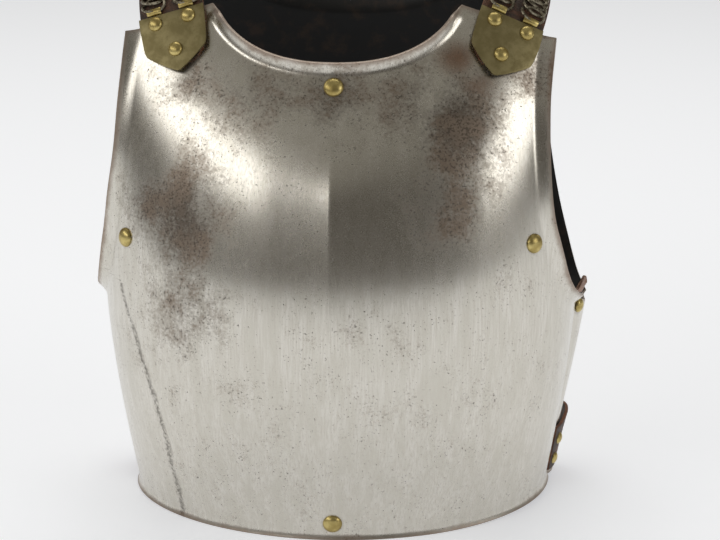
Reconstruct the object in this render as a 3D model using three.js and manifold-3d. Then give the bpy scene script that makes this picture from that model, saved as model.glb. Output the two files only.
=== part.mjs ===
// A nineteenth-century cavalry cuirass standing on its lower edge: a steel breastplate and backplate, joined over
// the shoulders by leather straps that carry brass end plates and two rows of chain, with the stubs of its waist belt.
// Millimetres. +Z is up, the breastplate faces -Y, and +X is to the right of someone who looks at the breastplate.
import Module from 'manifold-3d';
import * as THREE from 'three';
import { mergeVertices } from 'three/addons/utils/BufferGeometryUtils.js';

const { Vector3 } = THREE;
const GAP = 0.3; // left between pieces that touch

// ---------------------------------------------------------------- the two steel plates, as tables

// sections: horizontal cuts through a plate. half is its half width, side the Y of its widest line, reach its depth
// from there to its middle, wrap the turn in degrees from its middle to its side edge, and power how square it is.
// armhole: the edge from the shoulder down to the armpit corner, each point a turn and a height.
// shoulder and blade: the shares of the upper edge at which the neck and the shoulder end.
// armpit: the share of the outer edge below the armpit. rows and columns: where the faces of half a plate are parted.
const BREAST = {
  faces: -1,
  offset: 0,
  thickness: 2.4,
  sections: [
    { z: 0, half: 168, reach: 128, side: 0, wrap: 90, power: 1.9 },
    { z: 60, half: 178, reach: 143, side: 0, wrap: 90, power: 2.05 },
    { z: 110, half: 185, reach: 151, side: 0, wrap: 90, power: 2.15 },
    { z: 160, half: 190, reach: 154, side: 0, wrap: 90, power: 2.2 },
    { z: 205, half: 191, reach: 151, side: 0, wrap: 90, power: 2.25 },
    { z: 250, half: 191, reach: 142, side: 0, wrap: 90, power: 2.25 },
    { z: 290, half: 190, reach: 130, side: 0, wrap: 90, power: 2.25 },
    { z: 330, half: 190, reach: 112, side: 0, wrap: 90, power: 2.25 },
    { z: 370, half: 190, reach: 88, side: 0, wrap: 90, power: 2.25 },
    { z: 412, half: 190, reach: 58, side: 0, wrap: 90, power: 2.25 },
  ],
  armhole: {
    left: [
      { turn: 55.5, z: 384 },
      { turn: 58, z: 338 },
      { turn: 60, z: 300 },
      { turn: 63, z: 268 },
      { turn: 67, z: 230 },
      { turn: 76, z: 190 },
      { turn: 90, z: 168 },
    ],
    right: [
      { turn: 58, z: 381 },
      { turn: 55.4, z: 337 },
      { turn: 55.6, z: 290 },
      { turn: 57, z: 253 },
      { turn: 61, z: 225 },
      { turn: 67, z: 196 },
      { turn: 76, z: 178 },
      { turn: 90, z: 166 },
    ],
  },
  neck: { low: 366, half: 94, tip: 409, flatness: 2.3 },
  armpit: 0.45,
  shoulder: 0.6,
  blade: 1,
  lift: { left: 3, right: 8 },
  columns: [0, 0.07, 0.16, 0.27, 0.39, 0.51, 0.62, 0.72, 0.81, 0.88, 0.93, 0.965, 1],
  rows: [
    0, 0.014, 0.031, 0.09, 0.17, 0.26, 0.34, 0.41, 0.443, 0.45,
    0.478, 0.522, 0.588, 0.665, 0.742, 0.813, 0.879, 0.929, 0.964, 0.984, 1,
  ],
  lips: {
    armhole: { height: 7, width: 11, from: 0, to: 1 },
    neck: { height: 6, width: 9, from: 0, to: 0.95 },
    hem: { height: 3, width: 7, from: 0, to: 1 },
  },
  ridge: { height: 3.2, width: 42, low: 120, high: 330, fade: 60 },
};

const BACK = {
  faces: 1,
  offset: 3,
  thickness: 1.8,
  sections: [
    { z: 0, half: 170, reach: 84, side: 31, wrap: 111, power: 2.1 },
    { z: 60, half: 181, reach: 88, side: 33, wrap: 112, power: 2.15 },
    { z: 110, half: 191, reach: 92, side: 38, wrap: 114, power: 2.2 },
    { z: 160, half: 199, reach: 95, side: 43, wrap: 115, power: 2.25 },
    { z: 220, half: 200, reach: 96, side: 43, wrap: 115, power: 2.25 },
    { z: 300, half: 196, reach: 90, side: 42, wrap: 115, power: 2.25 },
    { z: 350, half: 192, reach: 76, side: 40, wrap: 115, power: 2.25 },
    { z: 385, half: 190, reach: 60, side: 40, wrap: 115, power: 2.25 },
    { z: 420, half: 190, reach: 40, side: 40, wrap: 115, power: 2.25 },
  ],
  armhole: [
    { turn: 53, z: 388 },
    { turn: 53, z: 340 },
    { turn: 54, z: 290 },
    { turn: 57, z: 240 },
    { turn: 62.5, z: 198 },
    { turn: 70, z: 166 },
    { turn: 80, z: 152 },
    { turn: 90, z: 150 },
    { turn: 102, z: 156 },
    { turn: 115, z: 164 },
  ],
  neck: { low: 387, half: 88, tip: 412, flatness: 2.2 },
  armpit: 1,
  shoulder: 0.34,
  blade: 0.45,
  lift: { left: 3, right: 8 },
  columns: [
    0, 0.06, 0.12, 0.18, 0.24, 0.295, 0.34, 0.395, 0.45, 0.5, 0.55, 0.6, 0.65, 0.7, 0.74, 0.78, 0.82, 0.86,
    0.895, 0.93, 0.965, 1,
  ],
  rows: [0, 0.02, 0.045, 0.18, 0.36, 0.54, 0.7, 0.82, 0.9, 0.945, 0.975, 1],
  lips: {
    armhole: { height: 5, width: 10, from: 0.12, to: 0.86 },
    neck: { height: 6, width: 9, from: 0, to: 0.86 },
    hem: { height: 3, width: 7, from: 0, to: 1 },
  },
  ridge: { height: 0, width: 42, low: 120, high: 330, fade: 60 },
};

// ---------------------------------------------------------------- the fittings, as tables

const STRAP = { half: 25.5, thickness: 3, rest: 1.2, exit: 7, pull: 0.85, slack: 1.1, end: 14 };
const STRAPS = [
  { name: 'left', side: -1, front: { x: -124.5, z: 393, lean: -19 }, back: { x: -124, z: 391, lean: -19 } },
  { name: 'right', side: 1, front: { x: 131, z: 390, lean: 27 }, back: { x: 130, z: 391, lean: 19 } },
];

const BRASS_PLATE = { thickness: 1.6 };
// The outline of a brass strap plate: half widths at distances along the strap from the upper rivets.
const BRASS_OUTLINE = [
  { along: -42, half: 1.2 },
  { along: -38, half: 8 },
  { along: -29.5, half: 19.2 },
  { along: -25.5, half: 23.4 },
  { along: -18, half: 24.9 },
  { along: 0, half: 25.8 },
  { along: 6.8, half: 25.7 },
];
const STRAP_RIVETS = [
  { name: 'inner', across: -13, along: 0 },
  { name: 'outer', across: 13, along: 0 },
  { name: 'lower', across: 0, along: -24.5 },
];

const CHAIN = { half: 10.5, rest: 0.8, thickness: 4.4, spread: 12.6, start: 14 };
const TAB = { half: 5.6, length: 6.5, thickness: 3 };

// Rivets: the radius and rise of the domed head, and the radius of the shank.
const RIVET = {
  breast: { radius: 7.6, rise: 4.4, shank: 2.2 },
  strap: { radius: 5.8, rise: 3.6, shank: 1.8 },
  back: { radius: 6, rise: 3.4, shank: 1.8 },
  belt: { radius: 5, rise: 2.6, shank: 1.6 },
};
const PLATE_RIVETS = [
  { name: 'breast_rivet_neck', plate: BREAST, turn: 0, z: 352, kind: 'breast' },
  { name: 'breast_rivet_left', plate: BREAST, turn: -56.5, z: 230.5, kind: 'breast' },
  { name: 'breast_rivet_right', plate: BREAST, turn: 51.2, z: 232, kind: 'breast' },
  { name: 'breast_rivet_bottom', plate: BREAST, turn: 0, z: 14, kind: 'breast' },
  { name: 'back_rivet_neck', plate: BACK, turn: 0, z: 368, kind: 'back' },
  { name: 'back_rivet_bottom', plate: BACK, turn: 0, z: 16, kind: 'back' },
  { name: 'back_rivet_wing_left', plate: BACK, turn: -106, z: 153, kind: 'back' },
];
const WING_RIVET = { name: 'back_rivet_wing_right', turn: 106, z: 152.5 };

const BELT = { thickness: 3, rest: 0.8, from: 106, to: 74 };
const BELTS = [
  { name: 'left', side: -1, low: 4, high: 57, drop: 3, curl: 8, rivets: [{ turn: 98, z: 42 }, { turn: 98, z: 19 }] },
  { name: 'right', side: 1, low: 10, high: 55, drop: 6, curl: 8, rivets: [{ turn: 100, z: 37 }, { turn: 101, z: 20 }] },
];
const TONGUE = { thickness: 2.2, rest: 2.9, from: 110, to: 95, low: 133, flare: 7, rise: 23 };

// ---------------------------------------------------------------- materials

const steel = new THREE.MeshStandardMaterial({ color: 0xa9a7a2, roughness: 0.3, metalness: 1 });
const brass = new THREE.MeshStandardMaterial({ color: 0x8f8350, roughness: 0.4, metalness: 1 });
const brightBrass = new THREE.MeshStandardMaterial({ color: 0xb8a35c, roughness: 0.3, metalness: 1 });
const wire = new THREE.MeshStandardMaterial({ color: 0x7d776a, roughness: 0.45, metalness: 1 });
const strapLeather = new THREE.MeshStandardMaterial({ color: 0x4a3628, roughness: 0.7, metalness: 0 });
const liningLeather = new THREE.MeshStandardMaterial({ color: 0x9a7560, roughness: 0.8, metalness: 0 });

// ---------------------------------------------------------------- the shape of a steel plate

// The value of one column of the sections at a height z, on a smooth curve through the rows.
function sectionValue(plate, column, z) {
  const rows = plate.sections;
  const last = rows.length - 1;
  const at = Math.min(Math.max(z, rows[0].z), rows[last].z);
  let i = 0;
  while (i < last - 1 && at > rows[i + 1].z) i += 1;
  const slope = (k) => {
    const a = rows[Math.max(k - 1, 0)];
    const b = rows[Math.min(k + 1, last)];
    return (b[column] - a[column]) / (b.z - a.z);
  };
  const [p, q] = [rows[i], rows[i + 1]];
  const span = q.z - p.z;
  const s = (at - p.z) / span;
  const blend = 3 * s * s - 2 * s * s * s;
  const ends = p[column] * (1 - blend) + q[column] * blend;
  return ends + span * (slope(i) * s * (1 - s) * (1 - s) - slope(i + 1) * s * s * (1 - s));
}

const { smoothstep } = THREE.MathUtils;
const signedPower = (value, power) => Math.sign(value) * Math.abs(value) ** power;

// The plain bowed surface at a turn round the body and a height.
function bowed(plate, turn, z) {
  const angle = THREE.MathUtils.degToRad(turn);
  const power = 2 / sectionValue(plate, 'power', z);
  const { height, width, low, high, fade } = plate.ridge;
  const x = sectionValue(plate, 'half', z) * signedPower(Math.sin(angle), power);
  const along = smoothstep(z, low, low + fade) * (1 - smoothstep(z, high - fade, high));
  const crest = height * along * Math.max(0, 1 - Math.abs(x) / width) ** 2;
  const depth = sectionValue(plate, 'reach', z) * signedPower(Math.cos(angle), power) + crest;
  return new Vector3(x, sectionValue(plate, 'side', z) + plate.faces * depth, z);
}

// The turn at which the front half of a section is x wide.
function turnAt(plate, x, z) {
  const share = Math.min(Math.abs(x) / sectionValue(plate, 'half', z), 1);
  return THREE.MathUtils.radToDeg(Math.asin(share ** (sectionValue(plate, 'power', z) / 2)));
}

// The four edges of the right half of a plate, as [turn, z] at shares from 0 to 1.
const middleEdge = (plate, v) => [0, v * plate.neck.low];

function hemEdge(plate, u) {
  const z = plate.lift * Math.max(0, (u - 0.3) / 0.7) ** 1.5;
  return [u * sectionValue(plate, 'wrap', z), z];
}

function armholeEdge(plate, share) {
  const curve = new THREE.SplineCurve(plate.armhole.map(({ turn, z }) => new THREE.Vector2(turn, z)));
  return curve.getPointAt(share).toArray();
}

function outerEdge(plate, v) {
  if (v > plate.armpit) return armholeEdge(plate, (1 - v) / (1 - plate.armpit));
  const z = plate.lift + ((plate.armhole.at(-1).z - plate.lift) * v) / plate.armpit;
  return [sectionValue(plate, 'wrap', z), z];
}

function upperEdge(plate, u) {
  const { low, half, tip, flatness } = plate.neck;
  if (u <= plate.shoulder) {
    const x = (half * u) / plate.shoulder;
    const sag = (at) => 1 - (1 - (at / 1.04) ** flatness) ** (1 / flatness);
    const z = low + ((tip - low) * sag(x / half)) / sag(1);
    return [turnAt(plate, x, z), z];
  }
  if (u > plate.blade) return armholeEdge(plate, (u - plate.blade) / (1 - plate.blade));
  const inner = turnAt(plate, half, tip);
  const end = plate.armhole[0];
  const share = (u - plate.shoulder) / (plate.blade - plate.shoulder);
  return [inner + (end.turn - inner) * share, tip + (end.z - tip) * share];
}

// Fills the half plate between its four edges.
function plateAt(plate, u, v) {
  const [middle, outer] = [middleEdge(plate, v), outerEdge(plate, v)];
  const [hem, upper] = [hemEdge(plate, u), upperEdge(plate, u)];
  const [a, b, c, d] = [hemEdge(plate, 0), hemEdge(plate, 1), upperEdge(plate, 0), upperEdge(plate, 1)];
  return [0, 1].map((k) => {
    const sides = (1 - u) * middle[k] + u * outer[k] + (1 - v) * hem[k] + v * upper[k];
    const corners = (1 - v) * ((1 - u) * a[k] + u * b[k]) + v * ((1 - u) * c[k] + u * d[k]);
    return sides - corners;
  });
}

// ---------------------------------------------------------------- the turned-out lips of a plate

const steps = (count, from, to) => Array.from({ length: count + 1 }, (_, i) => from + ((to - from) * i) / count);

function lipAlong(plate, lip, edge, whole) {
  const shares = steps(32, lip.from * whole, lip.to * whole);
  return { ...lip, points: shares.map((share) => bowed(plate, ...edge(plate, share))) };
}

// Half of a plate, drawn as if it were the right half.
function halfPlate(plate, side) {
  const half = { ...plate, armhole: plate.armhole[side] ?? plate.armhole, lift: plate.lift[side] };
  half.lips = {
    armhole: lipAlong(half, plate.lips.armhole, armholeEdge, 1),
    neck: lipAlong(half, plate.lips.neck, upperEdge, plate.shoulder),
    hem: lipAlong(half, plate.lips.hem, hemEdge, 1),
  };
  return half;
}

for (const plate of [BREAST, BACK]) plate.halves = { '-1': halfPlate(plate, 'left'), 1: halfPlate(plate, 'right') };

// The piece of a line nearest to a point, and how far away it is.
function nearestPiece(points, p) {
  let best = { distance: Infinity };
  for (let i = 1; i < points.length; i += 1) {
    const line = new THREE.Line3(points[i - 1], points[i]);
    const distance = line.closestPointToPoint(p, true, new Vector3()).distanceTo(p);
    if (distance < best.distance) best = { distance, line };
  }
  return best;
}

// The outer face of the right half of a plate, with the named lips raised: the point and the way it faces.
function faceAt(plate, turn, z, lips) {
  const plain = bowed(plate, turn, z);
  const across = bowed(plate, turn + 0.2, z).sub(bowed(plate, turn - 0.2, z));
  const up = bowed(plate, turn, z + 0.5).sub(bowed(plate, turn, z - 0.5));
  const out = across.cross(up).normalize().multiplyScalar(-plate.faces);
  const middle = new Vector3(0, plate.faces * 100, 100).sub(plain);
  const point = plain.clone();
  const normal = out.clone();
  for (const name of lips) {
    const { height, width, points } = plate.lips[name];
    const { distance, line } = nearestPiece(points, plain);
    const share = Math.max(0, 1 - distance / width);
    const inward = line.delta(new Vector3()).cross(out).normalize();
    const push = name === 'hem' ? out.clone().setZ(0).normalize() : out;
    point.addScaledVector(push, height * share ** 1.7);
    normal.addScaledVector(inward, (Math.sign(inward.dot(middle)) * 1.7 * height * share ** 0.7) / width);
  }
  return { point, normal: normal.normalize() };
}

// The same on either half, at a height above the face: turns below zero are on the left.
function onPlate(plate, turn, z, lips, above = 0) {
  const side = turn < 0 ? -1 : 1;
  const { point, normal } = faceAt(plate.halves[side], Math.abs(turn), z, lips);
  point.addScaledVector(normal, above);
  const mirror = new Vector3(side, 1, 1);
  return { point: point.multiply(mirror).setX(point.x + plate.offset), normal: normal.multiply(mirror) };
}

// ---------------------------------------------------------------- solids

// A closed solid between an outer and an inner grid of points with the same rows and columns.
function shellGeometry(outer, inner) {
  const rows = outer.length;
  const columns = outer[0].length;
  const at = (layer, row, column) => (layer * rows + row) * columns + column;
  const faces = [];
  const quad = (a, b, c, d) => faces.push(a, b, c, a, c, d);
  for (let r = 0; r + 1 < rows; r += 1) {
    for (let c = 0; c + 1 < columns; c += 1) {
      quad(at(0, r, c), at(0, r, c + 1), at(0, r + 1, c + 1), at(0, r + 1, c));
      quad(at(1, r, c), at(1, r + 1, c), at(1, r + 1, c + 1), at(1, r, c + 1));
    }
    const last = columns - 1;
    quad(at(0, r, 0), at(0, r + 1, 0), at(1, r + 1, 0), at(1, r, 0));
    quad(at(0, r + 1, last), at(0, r, last), at(1, r, last), at(1, r + 1, last));
  }
  for (let c = 0; c + 1 < columns; c += 1) {
    const last = rows - 1;
    quad(at(0, 0, c + 1), at(0, 0, c), at(1, 0, c), at(1, 0, c + 1));
    quad(at(0, last, c), at(0, last, c + 1), at(1, last, c + 1), at(1, last, c));
  }
  const geometry = new THREE.BufferGeometry().setFromPoints([...outer.flat(), ...inner.flat()]);
  geometry.setIndex(faces);
  return geometry;
}

// A domed rivet head on +Y with its shank below, as long as what it goes through.
function rivetGeometry({ radius, rise, shank }, length) {
  const profile = [
    [0, -length],
    [shank, -length],
    [shank, GAP],
    [radius, GAP],
    [radius * 0.94, rise * 0.45],
    [radius * 0.62, rise * 0.86],
    [0, rise],
  ];
  return new THREE.LatheGeometry(profile.map(([x, y]) => new THREE.Vector2(x, y)), 11);
}

// ---------------------------------------------------------------- cutting the rivet holes

const wasm = await Module();
wasm.setup();

function toManifold(source) {
  const geometry = source.clone();
  geometry.deleteAttribute('normal');
  geometry.deleteAttribute('uv');
  return solidOf(mergeVertices(geometry));
}

function solidOf(geometry) {
  const vertProperties = Float32Array.from(geometry.attributes.position.array);
  return new wasm.Manifold(new wasm.Mesh({ numProp: 3, vertProperties, triVerts: Uint32Array.from(geometry.index.array) }));
}

function fromManifold(solid) {
  const { vertProperties, triVerts } = solid.getMesh();
  const geometry = new THREE.BufferGeometry();
  geometry.setAttribute('position', new THREE.BufferAttribute(Float32Array.from(vertProperties), 3));
  geometry.setIndex(Array.from(triVerts));
  return geometry;
}

const towards = (normal) => new THREE.Quaternion().setFromUnitVectors(new Vector3(0, 1, 0), normal);

// Bores a hole for the shank of each rivet that goes through a piece.
function bored(geometry, rivets) {
  const drills = rivets.map(({ point, normal, kind }) => {
    const radius = RIVET[kind].shank + GAP;
    const drill = new THREE.CylinderGeometry(radius, radius, 60, 8);
    return toManifold(drill.applyQuaternion(towards(normal)).translate(...point.toArray()));
  });
  return fromManifold(toManifold(geometry).subtract(wasm.Manifold.union(drills)));
}

// ---------------------------------------------------------------- building the pieces

function steelPlateGeometry(plate) {
  const shares = [...plate.columns.slice(1).reverse().map((u) => -u), ...plate.columns];
  const columns = plate.faces < 0 ? shares : shares.reverse();
  const layer = (depth) => plate.rows.map((v) => columns.map((u) => {
    const lips = plate.armpit < 1 && v < plate.armpit ? ['hem'] : ['armhole', 'neck', 'hem'];
    const side = u < 0 ? -1 : 1;
    const [turn, z] = plateAt(plate.halves[side], Math.abs(u), v);
    const { point, normal } = onPlate(plate, side * Math.max(turn, 1e-6), z, lips);
    if (v === 0) normal.setZ(0).normalize();
    return point.addScaledVector(normal, -depth);
  }));
  return shellGeometry(layer(0), layer(plate.thickness));
}

// ---------------------------------------------------------------- the shoulder straps

// A point of a lap of a strap, on the face of a plate: across the strap and along it from the anchor, upwards.
function lapPoint(plate, anchor, across, along) {
  const at = (x, z) => onPlate(plate, Math.sign(x) * turnAt(plate, x - plate.offset, z), z, ['armhole', 'neck'], STRAP.rest);
  const { point, normal } = at(anchor.x, anchor.z);
  const sideways = new Vector3(0, 0, 1).cross(normal).multiplyScalar(-plate.faces).normalize();
  const upwards = normal.clone().cross(sideways).multiplyScalar(-plate.faces);
  const lean = THREE.MathUtils.degToRad(anchor.lean);
  const [c, s] = [Math.cos(lean), Math.sin(lean)];
  point.addScaledVector(sideways, across * c + along * s).addScaledVector(upwards, along * c - across * s);
  return at(point.x, point.z).point;
}

// The underside of a strap: its front lap, the free arch over the shoulder, and its back lap.
function strapPoint(strap, across, along) {
  const { exit, pull, slack } = STRAP;
  const front = (b) => lapPoint(BREAST, strap.front, across, b);
  const back = (b) => lapPoint(BACK, strap.back, across, b);
  if (along <= exit) return front(along);
  const [from, to] = [front(exit), back(exit)];
  const length = from.distanceTo(to) * slack;
  if (along >= exit + length) return back(2 * exit + length - along);
  const leave = from.clone().sub(front(exit - 1)).setLength(length * pull);
  const arrive = back(exit - 1).sub(to).setLength(length * pull);
  const s = (along - exit) / length;
  const blend = 3 * s * s - 2 * s * s * s;
  const point = from.lerp(to, blend);
  return point.addScaledVector(leave, s * (1 - s) * (1 - s)).addScaledVector(arrive, -s * s * (1 - s));
}

// How long the underside of a strap is from the anchor of its front lap to the anchor of its back lap.
function strapLength(strap) {
  const { exit, slack } = STRAP;
  const [from, to] = [lapPoint(BREAST, strap.front, 0, exit), lapPoint(BACK, strap.back, 0, exit)];
  return 2 * exit + from.distanceTo(to) * slack;
}

// A point at a height above the underside of a strap.
function aboveStrap(strap, across, along, height) {
  const sideways = strapPoint(strap, across + 0.5, along).sub(strapPoint(strap, across - 0.5, along));
  const onward = strapPoint(strap, across, along + 0.5).sub(strapPoint(strap, across, along - 0.5));
  return strapPoint(strap, across, along).addScaledVector(sideways.cross(onward).normalize(), height);
}

// A solid lying along a strap: rows gives the half width at each distance along, and low and high its two faces.
function strapGeometry(strap, rows, columns, centre, low, high) {
  const layer = (height) => rows.map(({ along, half }) =>
    columns.map((share) => aboveStrap(strap, centre + share * half, along, height)));
  return shellGeometry(layer(high), layer(low));
}

function strapFrame(strap, across, along, height) {
  const low = aboveStrap(strap, across, along, height);
  return { point: low, normal: aboveStrap(strap, across, along, height + 1).sub(low).normalize() };
}

// ---------------------------------------------------------------- assembly

const cuirass = new THREE.Group();
function add(name, geometry, material) {
  const flat = geometry.index ? geometry.toNonIndexed() : geometry;
  flat.deleteAttribute('uv');
  flat.computeVertexNormals();
  const mesh = new THREE.Mesh(flat, material);
  mesh.name = name;
  cuirass.add(mesh);
}

function addRivet({ name, kind, point, normal, length }, material) {
  const geometry = rivetGeometry(RIVET[kind], length);
  add(name, geometry.applyQuaternion(towards(normal)).translate(...point.toArray()), material);
}

function strapFittings(strap) {
  const side = `${strap.name}_strap`;
  const { thickness, half, lap, end } = STRAP;
  const total = strapLength(strap);
  const brassLow = thickness + GAP;
  const rivets = STRAP_RIVETS.map(({ name, across, along }) => ({
    ...strapFrame(strap, -strap.side * across, along, brassLow + BRASS_PLATE.thickness),
    name: `${side}_rivet_${name}`,
    kind: 'strap',
    length: brassLow + BRASS_PLATE.thickness + STRAP.rest + BREAST.thickness,
  }));
  const backRivets = [-1, 1].map((way) => ({
    ...strapFrame(strap, way * 11, total + 5, thickness),
    name: `${side}_back_rivet_${way < 0 ? 'left' : 'right'}`,
    kind: 'back',
    length: thickness + STRAP.rest + BACK.thickness,
  }));
  const arch = steps(12, STRAP.exit, total - STRAP.exit).map((along) => ({ along, half }));
  const leatherRows = [
    { along: -34, half: 10 },
    { along: -26, half: 19 },
    { along: -12, half: 23 },
    ...arch,
    { along: total + 4, half },
    { along: total + end, half },
    { along: total + end + 9, half: 9 },
  ];
  const wide = [-1, -0.5, 0, 0.5, 1];
  const leather = strapGeometry(strap, leatherRows, wide, 0, 0, thickness);
  add(`${side}_leather`, bored(leather, [...rivets, ...backRivets]), strapLeather);
  const plate = strapGeometry(strap, BRASS_OUTLINE, wide, 0, brassLow, brassLow + BRASS_PLATE.thickness);
  add(`${side}_brass_plate`, bored(plate, rivets), brass);
  rivets.forEach((rivet) => addRivet(rivet, brightBrass));
  backRivets.forEach((rivet) => addRivet(rivet, brightBrass));
  for (const way of [-1, 1]) {
    const row = way < 0 ? 'left' : 'right';
    const centre = way * CHAIN.spread;
    const [from, to] = [CHAIN.start, total - 16];
    const chainRows = steps(12, from, to).map((along) => ({ along, half: CHAIN.half }));
    const bed = thickness + CHAIN.rest;
    const chain = strapGeometry(strap, chainRows, [-1, -0.6, 0.6, 1], centre, bed, bed + CHAIN.thickness);
    add(`${side}_chain_${row}`, chain, wire);
    const tab = (low, high) => {
      const rows = [{ along: low, half: TAB.half }, { along: high, half: TAB.half }];
      return strapGeometry(strap, rows, [-1, 1], centre, brassLow, brassLow + TAB.thickness);
    };
    add(`${side}_tab_front_${row}`, tab(from - GAP - TAB.length, from - GAP), brightBrass);
    add(`${side}_tab_back_${row}`, tab(to + GAP, to + GAP + TAB.length), brightBrass);
  }
  return { rivets, backRivets };
}

// A leather patch on the side of the backplate, where the waist belt was fixed.
function beltGeometry({ side, low, high, drop, curl }) {
  const turns = [0, 0.08, 0.3, 0.55, 0.8, 1].map((share) => BELT.from + (BELT.to - BELT.from) * share);
  const columns = side > 0 ? turns : turns.map((turn) => -turn).reverse();
  const layer = (above) => steps(5, 0, 1).map((share) => columns.map((turn) => {
    const front = smoothstep(Math.abs(turn), BELT.to, 96);
    const z = low + (high - drop * front - low) * share;
    return onPlate(BACK, turn, z, ['hem'], above + curl * (1 - front) * share).point;
  }));
  const [inner, outer] = [layer(BELT.rest), layer(BELT.rest + BELT.thickness)];
  return shellGeometry(outer, inner);
}

// A tongue of the lining leather that stands up past the armhole lip of the backplate.
function tongueGeometry() {
  const edge = 154;
  const turns = steps(4, TONGUE.from, TONGUE.to);
  const under = -BACK.thickness - TONGUE.rest;
  const layer = (above) => [0, 0.4, 0.75, 1].map((share) => turns.map((turn) =>
    onPlate(BACK, turn, TONGUE.low + (edge - 2 - TONGUE.low) * share, ['armhole'], above).point));
  const past = (rows) => {
    const tips = [0.5, 1].map((share) => rows.at(-1).map((point, i) => {
      const narrow = 1 - 0.35 * share * Math.abs(i - 2) ** 2 * 0.25;
      const out = new Vector3(TONGUE.flare, 0, TONGUE.rise * narrow).multiplyScalar(share);
      return point.clone().add(out).setY(point.y + (rows.at(-1)[2].y - point.y) * 0.5 * share);
    }));
    return [...rows, ...tips];
  };
  return shellGeometry(past(layer(under)), past(layer(under - TONGUE.thickness)));
}

const fittings = STRAPS.map(strapFittings);
const breastRivets = [];
const backRivets = [];
for (const { name, plate, turn, z, kind } of PLATE_RIVETS) {
  const rivet = { ...onPlate(plate, turn, z, ['armhole', 'neck']), name, kind, length: plate.thickness };
  (plate === BREAST ? breastRivets : backRivets).push(rivet);
  addRivet(rivet, brightBrass);
}

const wing = { ...onPlate(BACK, WING_RIVET.turn, WING_RIVET.z, ['armhole']), kind: 'back' };
addRivet({ ...wing, name: WING_RIVET.name, length: BACK.thickness + TONGUE.rest + TONGUE.thickness }, brightBrass);
add('right_lining_tongue', bored(tongueGeometry(), [wing]), liningLeather);

const beltRivets = [];
for (const belt of BELTS) {
  const rivets = belt.rivets.map(({ turn, z }, i) => ({
    ...onPlate(BACK, belt.side * turn, z, ['hem'], BELT.rest + BELT.thickness),
    name: `${belt.name}_belt_rivet_${i ? 'lower' : 'upper'}`,
    kind: 'belt',
    length: BELT.rest + BELT.thickness + BACK.thickness,
  }));
  add(`${belt.name}_belt_leather`, bored(beltGeometry(belt), rivets), strapLeather);
  rivets.forEach((rivet) => addRivet(rivet, brightBrass));
  beltRivets.push(...rivets);
}

const throughBreast = [...breastRivets, ...fittings.flatMap(({ rivets }) => rivets)];
const throughBack = [...backRivets, ...beltRivets, wing, ...fittings.flatMap((fitting) => fitting.backRivets)];
add('breastplate', bored(steelPlateGeometry(BREAST), throughBreast), steel);
add('backplate', bored(steelPlateGeometry(BACK), throughBack), steel);

// Stands the cuirass on Z = 0 with its middle over the origin.
const box = new THREE.Box3().setFromObject(cuirass);
const middle = box.getCenter(new Vector3());
for (const mesh of cuirass.children) mesh.geometry.translate(-middle.x, -middle.y, -box.min.z);

export default cuirass;
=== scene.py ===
import math

import bpy
import numpy as np
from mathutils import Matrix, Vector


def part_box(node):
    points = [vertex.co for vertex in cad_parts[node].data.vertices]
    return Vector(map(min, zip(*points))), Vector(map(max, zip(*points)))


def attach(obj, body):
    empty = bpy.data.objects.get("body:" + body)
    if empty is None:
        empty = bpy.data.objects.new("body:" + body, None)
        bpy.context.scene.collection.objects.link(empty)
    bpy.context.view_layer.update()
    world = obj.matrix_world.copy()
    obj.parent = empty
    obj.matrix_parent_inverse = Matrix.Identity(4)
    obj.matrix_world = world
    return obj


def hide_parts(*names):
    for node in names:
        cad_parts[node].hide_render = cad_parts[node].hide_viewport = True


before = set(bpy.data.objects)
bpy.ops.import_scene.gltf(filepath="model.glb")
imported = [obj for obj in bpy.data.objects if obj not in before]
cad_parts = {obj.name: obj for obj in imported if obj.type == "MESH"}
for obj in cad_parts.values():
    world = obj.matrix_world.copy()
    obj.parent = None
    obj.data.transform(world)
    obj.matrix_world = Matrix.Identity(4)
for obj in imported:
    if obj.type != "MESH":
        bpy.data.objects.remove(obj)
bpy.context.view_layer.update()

# ---------------------------------------------------------------- the breastplate and the backplate
# Two hammered sheets of steel, bowed round the body and left open for the neck and arms. Their edges are turned
# outwards as lips. Each is drawn in millimetres as two halves, from a turn round the body and a height.


def table(columns, *rows):
    return dict(zip(columns.split(), np.array(rows, float).T))


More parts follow.
